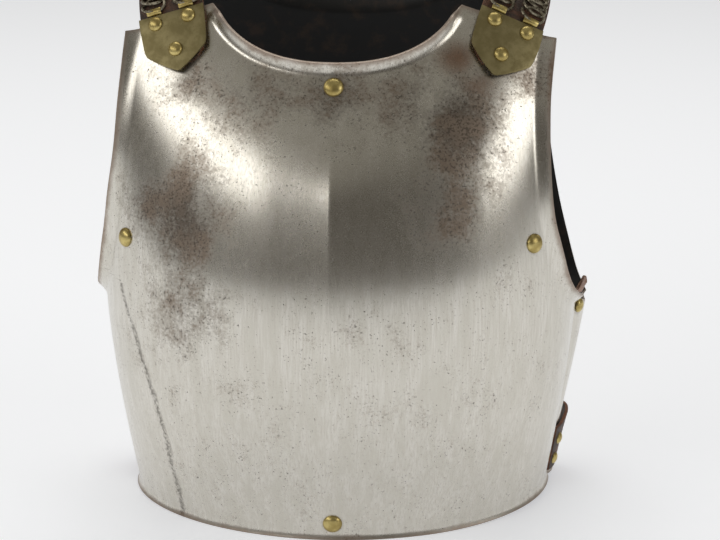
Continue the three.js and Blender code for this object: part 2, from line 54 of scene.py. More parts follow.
BREAST = {
    "node": "breastplate",
    "faces": -1,
    "offset": 0,
    "thickness": 2.4,
    "sections": table(
        "z half reach side wrap power",
        (0, 168, 128, 0, 90, 1.9),
        (60, 178, 143, 0, 90, 2.05),
        (110, 185, 151, 0, 90, 2.15),
        (160, 190, 154, 0, 90, 2.2),
        (205, 191, 151, 0, 90, 2.25),
        (250, 191, 142, 0, 90, 2.25),
        (290, 190, 130, 0, 90, 2.25),
        (330, 190, 112, 0, 90, 2.25),
        (370, 190, 88, 0, 90, 2.25),
        (412, 190, 58, 0, 90, 2.25),
    ),
    "armhole": {
        -1: [(55.5, 384), (58, 338), (60, 300), (63, 268), (67, 230), (76, 190), (90, 168)],
        1: [(58, 381), (55.4, 337), (55.6, 290), (57, 253), (61, 225), (67, 196), (76, 178), (90, 166)],
    },
    "neck": {"low": 366, "half": 94, "tip": 409, "flatness": 2.3},
    "armpit": 0.45,
    "shoulder": 0.6,
    "blade": 1,
    "columns": [0, 0.07, 0.16, 0.27, 0.39, 0.51, 0.62, 0.72, 0.81, 0.88, 0.93, 0.965, 1],
    "rows": [
        0, 0.014, 0.031, 0.09, 0.17, 0.26, 0.34, 0.41, 0.443, 0.45,
        0.478, 0.522, 0.588, 0.665, 0.742, 0.813, 0.879, 0.929, 0.964, 0.984, 1,
    ],
    "lips": {
        "armhole": {"height": 7, "width": 11, "from": 0, "to": 1},
        "neck": {"height": 6, "width": 9, "from": 0, "to": 0.95},
        "hem": {"height": 3, "width": 7, "from": 0, "to": 1},
    },
    "ridge": {"height": 3.2, "width": 42, "low": 120, "high": 330, "fade": 60},
}
BACK_ARMHOLE = [
    (53, 388), (53, 340), (54, 290), (57, 240), (62.5, 198), (70, 166), (80, 152), (90, 150), (102, 156), (115, 164),
]
BACK = {
    "node": "backplate",
    "faces": 1,
    "offset": 3,
    "thickness": 1.8,
    "sections": table(
        "z half reach side wrap power",
        (0, 170, 84, 31, 111, 2.1),
        (60, 181, 88, 33, 112, 2.15),
        (110, 191, 92, 38, 114, 2.2),
        (160, 199, 95, 43, 115, 2.25),
        (220, 200, 96, 43, 115, 2.25),
        (300, 196, 90, 42, 115, 2.25),
        (350, 192, 76, 40, 115, 2.25),
        (385, 190, 60, 40, 115, 2.25),
        (420, 190, 40, 40, 115, 2.25),
    ),
    "armhole": {-1: BACK_ARMHOLE, 1: BACK_ARMHOLE},
    "neck": {"low": 387, "half": 88, "tip": 412, "flatness": 2.2},
    "armpit": 1,
    "shoulder": 0.34,
    "blade": 0.45,
    "columns": [
        0, 0.06, 0.12, 0.18, 0.24, 0.295, 0.34, 0.395, 0.45, 0.5, 0.55, 0.6, 0.65, 0.7, 0.74, 0.78, 0.82, 0.86,
        0.895, 0.93, 0.965, 1,
    ],
    "rows": [0, 0.02, 0.045, 0.18, 0.36, 0.54, 0.7, 0.82, 0.9, 0.945, 0.975, 1],
    "lips": {
        "armhole": {"height": 5, "width": 10, "from": 0.12, "to": 0.86},
        "neck": {"height": 6, "width": 9, "from": 0, "to": 0.86},
        "hem": {"height": 3, "width": 7, "from": 0, "to": 1},
    },
    "ridge": {"height": 0, "width": 42, "low": 120, "high": 330, "fade": 60},
}
LIFT = {-1: 3, 1: 8}  # how far the lower edge rises at each side


def unit(vectors):
    return vectors / np.maximum(np.linalg.norm(vectors, axis=-1, keepdims=True), 1e-12)


def smoothstep(value, low, high):
    share = np.clip((value - low) / (high - low), 0, 1)
    return share * share * (3 - 2 * share)


def hermite(s, start, end, leave, arrive):
    """A smooth curve from start to end, with the given slopes at its two ends."""
    blend = 3 * s * s - 2 * s**3
    return start * (1 - blend) + end * blend + leave * s * (1 - s) ** 2 - arrive * s * s * (1 - s)


def section(plate, column, z):
    """The value of one column of the sections at heights z."""
    heights, values = plate["sections"]["z"], plate["sections"][column]
    last = len(heights) - 1
    before, after = np.maximum(np.arange(last + 1) - 1, 0), np.minimum(np.arange(last + 1) + 1, last)
    slope = (values[after] - values[before]) / (heights[after] - heights[before])
    z = np.clip(z, heights[0], heights[-1])
    i = np.clip(np.searchsorted(heights, z) - 1, 0, last - 1)
    span = heights[i + 1] - heights[i]
    return hermite((z - heights[i]) / span, values[i], values[i + 1], span * slope[i], span * slope[i + 1])


def signed_power(value, power):
    return np.sign(value) * np.abs(value) ** power


def bowed(plate, turn, z):
    """The plain bowed surface, before its lips are raised."""
    angle, power, ridge = np.radians(turn), 2 / section(plate, "power", z), plate["ridge"]
    x = section(plate, "half", z) * signed_power(np.sin(angle), power)
    rising = smoothstep(z, ridge["low"], ridge["low"] + ridge["fade"])
    falling = smoothstep(z, ridge["high"] - ridge["fade"], ridge["high"])
    crest = ridge["height"] * rising * (1 - falling) * np.maximum(0, 1 - np.abs(x) / ridge["width"]) ** 2
    depth = section(plate, "reach", z) * signed_power(np.cos(angle), power) + crest
    return np.stack([x, section(plate, "side", z) + plate["faces"] * depth, z + 0 * x], axis=-1)


def turn_at(plate, x, z):
    """The turn at which the front half of a section is x wide."""
    share = np.minimum(np.abs(x) / section(plate, "half", z), 1)
    return np.degrees(np.arcsin(share ** (section(plate, "power", z) / 2)))


def armhole_edge(half, share):
    """A point of the armhole by its share of the way from the shoulder: a smooth curve through the table."""
    points = np.array(half["armhole"], float)
    last = len(points) - 1

    def at(t):
        i = np.clip(np.floor(t * last).astype(int), 0, last - 1)
        ends = [points[np.clip(i + k, 0, last)] for k in (-1, 0, 1, 2)]
        s = (t * last - i)[..., None]
        return hermite(s, ends[1], ends[2], (ends[2] - ends[0]) / 2, (ends[3] - ends[1]) / 2)

    t = np.linspace(0, 1, 201)
    lengths = np.concatenate([[0], np.cumsum(np.linalg.norm(np.diff(at(t), axis=0), axis=1))])
    return at(np.interp(share, lengths / lengths[-1], t))


def hem_edge(half, u):
    z = half["lift"] * np.maximum(0, (u - 0.3) / 0.7) ** 1.5
    return np.stack([u * section(half, "wrap", z), z], axis=-1)


def outer_edge(half, v):
    """The side edge up to the armpit, then the armhole."""
    share = np.minimum(v / half["armpit"], 1)
    z = half["lift"] + (half["armhole"][-1][1] - half["lift"]) * share
    side = np.stack([section(half, "wrap", z), z], axis=-1)
    if half["armpit"] == 1:
        return side
    above = armhole_edge(half, np.clip((1 - v) / (1 - half["armpit"]), 0, 1))
    return np.where((v > half["armpit"])[..., None], above, side)


def upper_edge(half, u):
    """The neckline, the top of the shoulder and, on the backplate, the armhole."""
    neck, shoulder, blade = half["neck"], half["shoulder"], half["blade"]

    def sag(at):
        return 1 - (1 - (at / 1.04) ** neck["flatness"]) ** (1 / neck["flatness"])

    share = np.minimum(u / shoulder, 1)
    z = neck["low"] + (neck["tip"] - neck["low"]) * sag(share) / sag(1)
    edge = np.stack([turn_at(half, neck["half"] * share, z), z], axis=-1)
    inner = np.array([turn_at(half, neck["half"], neck["tip"]), neck["tip"]])
    top = inner + (np.array(half["armhole"][0]) - inner) * np.clip((u - shoulder) / (blade - shoulder), 0, 1)[..., None]
    edge = np.where((u > shoulder)[..., None], top, edge)
    if blade == 1:
        return edge
    return np.where((u > blade)[..., None], armhole_edge(half, np.clip((u - blade) / (1 - blade), 0, 1)), edge)


def plate_at(half, u, v):
    """Turn and height inside the four edges of half a plate, for shares across it and up it."""
    middle = np.stack([0 * v, v * half["neck"]["low"]], axis=-1)
    outer, hem, upper = outer_edge(half, v), hem_edge(half, u), upper_edge(half, u)
    a, b = hem_edge(half, np.array(0.0)), hem_edge(half, np.array(1.0))
    c, d = upper_edge(half, np.array(0.0)), upper_edge(half, np.array(1.0))
    u, v = u[..., None], v[..., None]
    sides = (1 - u) * middle + u * outer + (1 - v) * hem + v * upper
    corners = (1 - v) * ((1 - u) * a + u * b) + v * ((1 - u) * c + u * d)
    return np.moveaxis(sides - corners, -1, 0)


def nearest_piece(line, points):
    """How far points are from a line of straight pieces, and the direction of the piece nearest to each."""
    start, along = line[:-1], np.diff(line, axis=0)
    flat = points.reshape(-1, 1, 3)
    share = np.clip(((flat - start) * along).sum(-1) / (along * along).sum(-1), 0, 1)
    distance = np.linalg.norm(start + along * share[..., None] - flat, axis=-1)
    best = distance.argmin(axis=1)
    shape = points.shape[:-1]
    return distance[np.arange(len(best)), best].reshape(shape), along[best].reshape(*shape, 3)


def face_at(half, turn, z, lips):
    """The outer face with the named lips raised: the points, and the way each one faces."""
    plain = bowed(half, turn, z)
    across = bowed(half, turn + 0.2, z) - bowed(half, turn - 0.2, z)
    up = bowed(half, turn, z + 0.5) - bowed(half, turn, z - 0.5)
    out = unit(np.cross(across, up)) * -half["faces"]
    middle = np.array([0, half["faces"] * 100, 100]) - plain
    point, normal = plain.copy(), out.copy()
    for name in lips:
        lip = half["lips"][name]
        distance, piece = nearest_piece(lip["points"], plain)
        share = np.maximum(0, 1 - distance / lip["width"])[..., None]
        inward = unit(np.cross(piece, out))
        push = unit(out * (1, 1, 0)) if name == "hem" else out
        point += push * lip["height"] * share**1.7
        lean = np.sign((inward * middle).sum(-1, keepdims=True))
        normal += inward * lean * 1.7 * lip["height"] * share**0.7 / lip["width"]
    return point, unit(normal)


def on_plate(plate, side, turn, z, lips, above=0):
    """Points over one half of a plate, at a height above its face, and the way that face looks."""
    point, normal = face_at(plate["halves"][side], turn, z, lips)
    point += normal * above
    return point * (side, 1, 1) + (plate["offset"], 0, 0), normal * (side, 1, 1)


for plate in (BREAST, BACK):
    plate["halves"] = {}
    for side in (-1, 1):
        half = {**plate, "armhole": plate["armhole"][side], "lift": LIFT[side]}
        edges = {"armhole": (armhole_edge, 1), "neck": (upper_edge, plate["shoulder"]), "hem": (hem_edge, 1)}
        half["lips"] = {}
        for name, (edge, whole) in edges.items():
            lip = plate["lips"][name]
            line = edge(half, np.linspace(lip["from"] * whole, lip["to"] * whole, 33))
            half["lips"][name] = {**lip, "points": bowed(half, line[:, 0], line[:, 1])}
        plate["halves"][side] = half


def plate_grid(plate, columns, rows, depth):
    """Rows of points from side to side, at a depth under the outer face, with each point's turn and height."""
    flat = lambda v: ["hem"] if plate["armpit"] < 1 and v < plate["armpit"] else ["armhole", "neck", "hem"]
    shares = np.array(columns)
    grid, turns = [], []
    for v in rows:
        row, row_turns = [], []
        for side, u in ((-1, shares[:0:-1]), (1, shares)):
            turn, z = plate_at(plate["halves"][side], u, np.full_like(u, v))
            turn = np.maximum(turn, 1e-6)
            point, normal = on_plate(plate, side, turn, z, flat(v))
            if v == 0:
                normal = unit(normal * (1, 1, 0))
            row.append(point - normal * depth)
            row_turns.append(side * turn)
        grid.append(np.concatenate(row))
        turns.append(np.concatenate(row_turns))
    return np.array(grid), np.array(turns)


SHIFT = np.zeros(3)
coarse = np.concatenate([plate_grid(BREAST, BREAST["columns"], BREAST["rows"], d)[0] for d in (0, 2.4)])
SHIFT = np.array(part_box("breastplate")[0]) * 1000 - coarse.reshape(-1, 3).min(axis=0)


def shell_faces(rows, columns):
    """The faces of a closed shell between an outer and an inner grid, and each one's part: 0 out, 1 in, 2 rim."""
    at = np.arange(2 * rows * columns).reshape(2, rows, columns)
    near, far = at

    def quads(a, b, c, d, part):
        faces = np.stack([x.ravel() for x in (a, b, c, d)], axis=1)
        return faces, np.full(len(faces), part)

    made = [
        quads(near[:-1, :-1], near[:-1, 1:], near[1:, 1:], near[1:, :-1], 0),
        quads(far[:-1, :-1], far[1:, :-1], far[1:, 1:], far[:-1, 1:], 1),
        quads(near[:-1, 0], near[1:, 0], far[1:, 0], far[:-1, 0], 2),
        quads(near[1:, -1], near[:-1, -1], far[:-1, -1], far[1:, -1], 2),
        quads(near[0, 1:], near[0, :-1], far[0, :-1], far[0, 1:], 2),
        quads(near[-1, :-1], near[-1, 1:], far[-1, 1:], far[-1, :-1], 2),
    ]
    return np.concatenate([m[0] for m in made]), np.concatenate([m[1] for m in made])


def shell(name, outer, inner, materials, parts=(0, 1, 2), values=None, bevel=0.5):
    """A closed sheet between two grids in millimetres, its rim rounded, as a piece that rides on the one body."""
    mesh = bpy.data.meshes.new(name)
    faces, part = shell_faces(*outer.shape[:2])
    points = (np.concatenate([outer.reshape(-1, 3), inner.reshape(-1, 3)]) + SHIFT) / 1000
    mesh.from_pydata(points.tolist(), [], faces.tolist())
    for material in materials:
        mesh.materials.append(material)
    mesh.polygons.foreach_set("material_index", np.array(parts)[part] % len(materials))
    for key, value in (values or {}).items():
        mesh.attributes.new(key, "FLOAT", "POINT").data.foreach_set("value", np.tile(value.ravel(), 2).astype("f"))
    piece = bpy.data.objects.new(name, mesh)
    bpy.context.collection.objects.link(piece)
    if outer_is_inside_out(mesh, outer):
        mesh.flip_normals()
    rounded = piece.modifiers.new("rounded rim", "BEVEL")
    rounded.width, rounded.segments, rounded.limit_method = bevel / 1000, 2, "ANGLE"
    rounded.angle_limit = math.radians(50)
    return plain(piece)


def outer_is_inside_out(mesh, outer):
    """Whether the shell's volume comes out below zero."""
    v = np.empty(len(mesh.vertices) * 3)
    mesh.vertices.foreach_get("co", v)
    v = v.reshape(-1, 3) - v.reshape(-1, 3).mean(axis=0)
    q = np.empty(len(mesh.polygons) * 4, int)
    mesh.polygons.foreach_get("vertices", q)
    a, b, c, d = (v[q.reshape(-1, 4)[:, k]] for k in range(4))
    return (np.cross(a, b) * c + np.cross(a, c) * d).sum() < 0


def plain(piece):
    """The piece as one plain mesh, its modifiers applied, smooth but for its sharp edges."""
    graph = bpy.context.evaluated_depsgraph_get()
    made = piece.evaluated_get(graph)
    mesh = bpy.data.meshes.new_from_object(made, preserve_all_data_layers=True, depsgraph=graph)
    mesh.name = piece.name
    piece.modifiers.clear()
    piece.data = mesh
    mesh.shade_smooth()
    mesh.set_sharp_from_angle(angle=math.radians(38))
    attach(piece, "root")
    return piece


def linear(colour):
    """An sRGB hex colour as linear red, green, blue and alpha."""
    channels = [int(colour[i : i + 2], 16) / 255 for i in (1, 3, 5)]
    return (*(c / 12.92 if c <= 0.04045 else ((c + 0.055) / 1.055) ** 2.4 for c in channels), 1)


def add(tree, kind, inputs=None, **settings):
    """Adds a node with its settings. Each input takes a value, or the output that is linked to it."""
    made = tree.nodes.new(kind)
    for name, value in settings.items():
        setattr(made, name, value)
    for name, value in (inputs or {}).items():
        if isinstance(value, bpy.types.Node):
            value = next(output for output in value.outputs if output.enabled)
        if isinstance(value, bpy.types.NodeSocket):
            tree.links.new(value, made.inputs[name])
        else:
            made.inputs[name].default_value = value
    return made


def maths(tree, operation, *values):
    return add(tree, "ShaderNodeMath", dict(enumerate(values)), operation=operation)


def mask(tree, value, low, high):
    """0 up to low and 1 past high, smooth in between."""
    limits = {"Value": value, "From Min": low, "From Max": high}
    return add(tree, "ShaderNodeMapRange", limits, interpolation_type="SMOOTHSTEP")


def mixed(tree, share, one, other):
    """The colour one where share is 0, and other where it is 1."""
    return add(tree, "ShaderNodeMix", {0: share, 6: one, 7: other}, data_type="RGBA").outputs[2]


def noise(tree, coordinates, size, stretch=(1, 1, 1), detail=3, roughness=0.55):
    """Noise whose blotches are about size millimetres across, drawn out by stretch."""
    scale = tuple(1000 / size / s for s in stretch)
    drawn = add(tree, "ShaderNodeVectorMath", {0: coordinates, 1: scale}, operation="MULTIPLY")
    return add(tree, "ShaderNodeTexNoise", {"Vector": drawn, "Scale": 1, "Detail": detail, "Roughness": roughness})


def new_material(name):
    """An empty material: its tree, its Principled node, and the piece's own coordinates."""
    material = bpy.data.materials.new(name)
    material.use_nodes = True
    tree = material.node_tree
    shader = tree.nodes["Principled BSDF"]
    coordinates = add(tree, "ShaderNodeTexCoord").outputs["Object"]
    return material, tree, shader, coordinates


def set_shader(tree, shader, **values):
    for name, value in values.items():
        socket = shader.inputs[name.replace("_", " ").title().replace("Ior", "IOR")]
        if isinstance(value, (bpy.types.Node, bpy.types.NodeSocket)):
            tree.links.new(value if isinstance(value, bpy.types.NodeSocket) else value.outputs[0], socket)
        else:
            socket.default_value = value


# Polished steel, cleaned by rubbing up and down for two centuries: grey and bright, with brown tarnish left in
# patches and specks, a dark line where water stood, and rust along the turned edges.
def brushed_steel():
    material, tree, shader, here = new_material("brushed steel")
    value = lambda name: add(tree, "ShaderNodeAttribute", attribute_name=name).outputs["Fac"]
    cloudy = noise(tree, here, 30, detail=5, roughness=0.62)
    specks = noise(tree, here, 2.6, detail=4, roughness=0.75)
    dots = noise(tree, here, 1.7, detail=2, roughness=0.6)
    brushing = noise(tree, here, 1.3, stretch=(1, 1, 22), detail=2)
    streaks = noise(tree, here, 8, stretch=(1, 1, 6), detail=3)
    heavy = value("tarnish")
    blotches = maths(tree, "MULTIPLY_ADD", specks, 0.4, maths(tree, "MULTIPLY", cloudy, 0.6))
    brown = mask(tree, maths(tree, "MULTIPLY_ADD", heavy, 0.36, blotches), 0.55, 0.85)
    pits = mask(tree, maths(tree, "MULTIPLY_ADD", heavy, 0.13, maths(tree, "MULTIPLY_ADD", cloudy, 0.25, dots)), 0.76, 0.88)
    wander = maths(tree, "MULTIPLY_ADD", cloudy, 10, maths(tree, "MULTIPLY_ADD", specks, 6, value("stain")))
    off_line = maths(tree, "ABSOLUTE", maths(tree, "ADD", wander, -8))
    line = maths(tree, "MULTIPLY", mask(tree, off_line, 4.2, 0.4), mask(tree, specks, 0.36, 0.6))
    rusty = mask(tree, maths(tree, "MULTIPLY_ADD", cloudy, -9, value("edge")), 0.5, -4.5)
    # A darker ring round each rivet head: dirt, and painted shade where the dome shades the plate at its foot.
    dirt_and_shade_ring = mask(tree, maths(tree, "MULTIPLY_ADD", specks, 3, value("rivet")), 11.5, 7.5)
    clean = mixed(tree, mask(tree, streaks, 0.3, 0.7), linear("#DAD6CD"), linear("#CECABF"))
    clean = mixed(tree, mask(tree, brushing, 0.35, 0.75), clean, linear("#CCC7BC"))
    dirty = mixed(tree, mask(tree, cloudy, 0.4, 0.62), linear("#6E655B"), linear("#8A7C6E"))
    rust = mixed(tree, mask(tree, streaks, 0.35, 0.6), linear("#7A5C48"), linear("#8F6E58"))
    colour = mixed(tree, brown, clean, dirty)
    colour = mixed(tree, mask(tree, value("rust"), 0.25, 1.1), colour, rust)
    colour = mixed(tree, maths(tree, "MULTIPLY", pits, 0.7), colour, linear("#4A443E"))
    colour = mixed(tree, maths(tree, "MULTIPLY", line, 0.7), colour, linear("#4E4842"))
    colour = mixed(tree, maths(tree, "MULTIPLY", rusty, 0.6), colour, linear("#7A5B45"))
    colour = mixed(tree, maths(tree, "MULTIPLY", dirt_and_shade_ring, 0.4), colour, linear("#5B5147"))
    worn = maths(tree, "MAXIMUM", maths(tree, "MAXIMUM", brown, pits), maths(tree, "MAXIMUM", rusty, line))
    rough = maths(tree, "MULTIPLY_ADD", worn, 0.18, maths(tree, "MULTIPLY_ADD", brushing, 0.1, 0.2))
    metal = maths(tree, "MULTIPLY_ADD", worn, -0.2, 1)
    relief = maths(tree, "MULTIPLY_ADD", worn, -0.5, maths(tree, "MULTIPLY", brushing, 0.25))
    bump = add(tree, "ShaderNodeBump", {"Height": relief, "Strength": 0.1, "Distance": 0.0003})
    set_shader(tree, shader, base_color=colour, metallic=metal, roughness=rough, normal=bump)
    return material


# The inner faces were painted black against rust, which has come through here and there: flat and very dark. Part of
# that near-black is painted shade, for the shadow that falls inside the shell.
def black_paint_and_painted_shade():
    material, tree, shader, here = new_material("black paint and painted shade")
    patches = noise(tree, here, 18, detail=6, roughness=0.65)
    colour = mixed(tree, mask(tree, patches, 0.5, 0.68), linear("#141311"), linear("#33261D"))
    rough = maths(tree, "MULTIPLY_ADD", patches, 0.3, 0.4)
    bump = add(tree, "ShaderNodeBump", {"Height": patches, "Strength": 0.3, "Distance": 0.0005})
    set_shader(tree, shader, base_color=colour, metallic=0.0, roughness=rough, normal=bump)
    return material


STEEL, BLACK_PAINT_AND_SHADE = brushed_steel(), black_paint_and_painted_shade()

# Where the tarnish of the breastplate is heaviest: the middle of each patch, how far it spreads, and how strong.
TARNISH = table(
    "x z wide high strength",
    (-112, 255, 34, 46, 1.0),
    (-138, 262, 26, 34, 0.8),
    (-112, 190, 40, 60, 0.55),
    (-60, 345, 70, 30, 0.6),
    (-110, 352, 30, 22, 0.7),
    (0, 345, 34, 30, 0.75),
    (96, 325, 34, 44, 1.0),
    (92, 268, 34, 48, 0.7),
    (150, 355, 24, 20, 0.6),
    (60, 345, 44, 34, 0.6),
    (0, 150, 120, 90, 0.08),
)
# Where red rust shows through: under the right strap's end plate, and at the edge of the left one.
RUST = table("x z wide high strength", (92, 372, 20, 16, 0.9), (110, 352, 22, 12, 0.7), (-92, 352, 14, 10, 0.5))
# The water line, from the lower edge up: its turn and its height.
STAIN = table(
    "turn z",
    (-47.1, 25), (-46.8, 65), (-48, 92), (-50.7, 131), (-54.4, 161), (-58.6, 180), (-60, 190),
)
RIVETS = {
    "breastplate": [(0, 352), (-56.5, 230.5), (51.2, 232), (0, 14)],
    "backplate": [(0, 368), (0, 16), (-106, 153), (106, 152.5)],
}


def refined(shares, parts):
    places = np.linspace(0, len(shares) - 1, (len(shares) - 1) * parts + 1)
    return np.interp(places, np.arange(len(shares)), shares)


def patches(marks, x, z):
    """How strong the strongest of the marks is at each place."""
    strength = 0 * x
    for mark_x, mark_z, wide, high, most in zip(*marks.values()):
        strength = np.maximum(strength, most * np.exp(-(((x - mark_x) / wide) ** 2) - ((z - mark_z) / high) ** 2))
    return strength


def wear_of(plate, outer, turns):
    """What the steel shows where, in millimetres: distances to the edge, the nearest rivet and the water line."""
    rim = np.concatenate([outer[0], outer[:, -1], outer[-1][::-1], outer[:, 0][::-1]])
    x, z = outer[..., 0], outer[..., 2]
    tarnish, rust = (patches(marks, x, z) * (plate is BREAST) for marks in (TARNISH, RUST))
    rivet = np.full_like(x, 1e3)
    for turn, height in RIVETS[plate["node"]]:
        side = -1 if turn < 0 else 1
        centre, _ = on_plate(plate, side, np.array(abs(turn) + 0.0), np.array(height + 0.0), [])
        rivet = np.minimum(rivet, np.linalg.norm(outer - centre, axis=-1))
    stain = (turns - np.interp(z, STAIN["z"], STAIN["turn"])) * 2.6 + 50 * (z > 195)
    if plate is BACK:
        stain = stain + 1000
    edge = nearest_piece(rim[::2], outer)[0]
    return {"edge": edge, "rivet": rivet, "stain": stain, "tarnish": tarnish, "rust": rust}


for plate, across, up in ((BREAST, 8, 6), (BACK, 5, 10)):
    columns, rows = refined(plate["columns"], across), refined(plate["rows"], up)
    rows = rows[(rows <= 0.4431) | (rows >= 0.4499) | (plate["armpit"] == 1)]
    outer, turns = plate_grid(plate, columns, rows, 0)
    inner, _ = plate_grid(plate, columns, rows, plate["thickness"])
    # The inner faces take the black paint, whose near-black is partly painted shade.
    piece = shell(plate["node"] + "_steel", outer, inner, [STEEL, BLACK_PAINT_AND_SHADE], (0, 1, 0), wear_of(plate, outer, turns))
    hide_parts(plate["node"])

# ---------------------------------------------------------------- the shoulder straps
# A strip of dark brown leather riveted to each plate, bent over the shoulder. Everything else on the shoulder lies
# on it, so all of it is placed by how far it is along and across the strap, and how high above its underside.
STRAP = {"half": 25.5, "thickness": 3, "rest": 1.2, "exit": 7, "pull": 0.85, "slack": 1.1, "end": 14}
STRAPS = {
    "left": {"side": -1, "front": (-124.5, 393, -19), "back": (-124, 391, -19)},
    "right": {"side": 1, "front": (131, 390, 27), "back": (130, 391, 19)},
}


def lap_point(plate, anchor, across, along):
    """The underside of a lap, on the face of a plate: across the strap and up it from the anchor."""
    side = 1 if anchor[0] > 0 else -1

    def at(x, z):
        x, z = np.asarray(x, float), np.asarray(z, float)
        return on_plate(plate, side, turn_at(plate, x - plate["offset"], z), z, ["armhole", "neck"], STRAP["rest"])

    point, normal = at(anchor[0], anchor[1])
    sideways = unit(np.cross((0, 0, 1), normal) * -plate["faces"])
    upwards = np.cross(normal, sideways) * -plate["faces"]
    c, s = math.cos(math.radians(anchor[2])), math.sin(math.radians(anchor[2]))
    across, along = np.broadcast_arrays(np.asarray(across, float)[..., None], np.asarray(along, float)[..., None])
    point = point + sideways * (across * c + along * s) + upwards * (along * c - across * s)
    return at(point[..., 0], point[..., 2])[0]


def strap_point(strap, across, along):
    """The underside of a strap: its front lap, the arch over the shoulder, and its back lap."""
    end = STRAP["exit"]
    across, along = np.broadcast_arrays(np.asarray(across, float), np.asarray(along, float))
    front = lambda b: lap_point(BREAST, strap["front"], across, b)
    back = lambda b: lap_point(BACK, strap["back"], across, b)
    start, finish = front(end), back(end)
    length = np.linalg.norm(finish - start, axis=-1, keepdims=True) * STRAP["slack"]
    leave = unit(start - front(end - 1)) * length * STRAP["pull"]
    arrive = unit(back(end - 1) - finish) * length * STRAP["pull"]
    on = along[..., None]
    arch = hermite(np.clip((on - end) / length, 0, 1), start, finish, leave, arrive)
    lower = front(np.minimum(along, end))
    upper = back(np.minimum(2 * end + length[..., 0] - along, end))
    return np.where(on <= end, lower, np.where(on >= end + length, upper, arch))


def strap_length(strap):
    start, finish = (lap_point(p, strap[k], 0, STRAP["exit"]) for p, k in ((BREAST, "front"), (BACK, "back")))
    return 2 * STRAP["exit"] + np.linalg.norm(finish - start) * STRAP["slack"]


def above_strap(strap, across, along, height):
    """Points at a height above the underside of a strap, and the way it faces there."""
    across, along = np.broadcast_arrays(np.asarray(across, float), np.asarray(along, float))
    sideways = strap_point(strap, across + 0.5, along) - strap_point(strap, across - 0.5, along)
    onward = strap_point(strap, across, along + 0.5) - strap_point(strap, across, along - 0.5)
    out = unit(np.cross(sideways, onward))
    return strap_point(strap, across, along) + out * np.asarray(height, float)[..., None], out


def strap_sheet(name, strap, rows, columns, centre, low, high, materials, bevel, **values):
    """A sheet lying along a strap, from rows of a distance along it and a half width there."""
    along = np.array([row[0] for row in rows], float)[:, None] + 0 * np.array(columns)
    across = centre + np.array([row[1] for row in rows], float)[:, None] * np.array(columns)
    outer, inner = (above_strap(strap, across, along, 0 * along + height)[0] for height in (high, low))
    return shell(name, outer, inner, materials, bevel=bevel, **values)


# Vegetable-tanned leather, brown turned nearly black on its face and reddish where its edge has worn.
def oiled_leather(name, face, worn, dusty):
    material, tree, shader, here = new_material(name)
    grain = noise(tree, here, 1.3, detail=4, roughness=0.7)
    patches = noise(tree, here, 14, detail=5, roughness=0.6)
    cracks = add(tree, "ShaderNodeTexVoronoi", {"Vector": here, "Scale": 420}, feature="DISTANCE_TO_EDGE")
    creases = mask(tree, cracks.outputs["Distance"], 0.09, 0.0)
    colour = mixed(tree, mask(tree, patches, 0.42, 0.66), linear(face), linear(worn))
    colour = mixed(tree, mask(tree, grain, 0.52, 0.75), colour, linear(dusty))
    colour = mixed(tree, maths(tree, "MULTIPLY", creases, 0.6), colour, linear("#1B120C"))
    height = maths(tree, "MULTIPLY_ADD", creases, -0.5, grain)
    bump = add(tree, "ShaderNodeBump", {"Height": height, "Strength": 0.5, "Distance": 0.0005})
    rough = maths(tree, "MULTIPLY_ADD", grain, 0.3, 0.42)
    set_shader(tree, shader, base_color=colour, roughness=rough, normal=bump)
    return material


LEATHER = oiled_leather("oiled brown leather", "#3B2A1F", "#6A4530", "#7B6250")
RED_LEATHER = oiled_leather("worn red-brown leather edge", "#7A4A31", "#9A6142", "#B08A6C")


def leather_rows(total):
    ends = [(-34, 10), (-31, 14.5), (-26, 19), (-19, 21.5), (-12, 23), (-2, 24.6)]
    arch = [(along, STRAP["half"]) for along in np.linspace(STRAP["exit"], total - STRAP["exit"], 49)]
    end = total + STRAP["end"]
    return [*ends, *arch, (total + 4, 25.5), (end - 3, 25.5), (end, 24.6), (end + 4, 20), (end + 9, 9)]


for name, strap in STRAPS.items():
    strap["total"] = strap_length(strap)
    leather = strap_sheet(
        f"{name}_strap_leather_strip", strap, leather_rows(strap["total"]), np.linspace(-1, 1, 13), 0, 0,
        STRAP["thickness"], [LEATHER, RED_LEATHER], 0.7, parts=(0, 0, 1),
    )
    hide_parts(f"{name}_strap_leather")

# ---------------------------------------------------------------- the brass end plates of the straps
# A plate of sheet brass, cut to a point below, covers the front end of each strap. Three rivets hold it down, and
# it has gone olive brown except where hands and cloths reach its edges.
BRASS_THICKNESS = 1.6
BRASS_LOW = STRAP["thickness"] + 0.3
BRASS_OUTLINE = [
    (-42, 1.2), (-41.2, 2.6), (-38, 8), (-33.5, 14.2), (-29.5, 19.2), (-27.2, 21.8), (-25.5, 23.4), (-22, 24.4),
    (-18, 24.9), (-9, 25.4), (0, 25.8), (6.8, 25.7),
]


def tarnished_brass(name, clean, olive, brown, polish):
    material, tree, shader, here = new_material(name)
    patches = noise(tree, here, 9, detail=5, roughness=0.6)
    specks = noise(tree, here, 1.4, detail=3, roughness=0.7)
    rubbed = noise(tree, here, 1.2, stretch=(6, 1, 2), detail=2)
    colour = mixed(tree, mask(tree, patches, 0.35, 0.62), linear(clean), linear(olive))
    colour = mixed(tree, maths(tree, "MULTIPLY", mask(tree, specks, 0.58, 0.75), 0.6), colour, linear(brown))
    rough = maths(tree, "MULTIPLY_ADD", patches, 0.3, polish)
    height = maths(tree, "MULTIPLY_ADD", specks, -0.4, maths(tree, "MULTIPLY", rubbed, 0.4))
    bump = add(tree, "ShaderNodeBump", {"Height": height, "Strength": 0.25, "Distance": 0.0003})
    set_shader(tree, shader, base_color=colour, metallic=1.0, roughness=rough, normal=bump)
    return material


OLIVE_BRASS = tarnished_brass("tarnished sheet brass", "#958A64", "#857A55", "#6A5F42", 0.4)
BRIGHT_BRASS = tarnished_brass("rubbed brass", "#CDBB7C", "#A8955C", "#7A6840", 0.22)

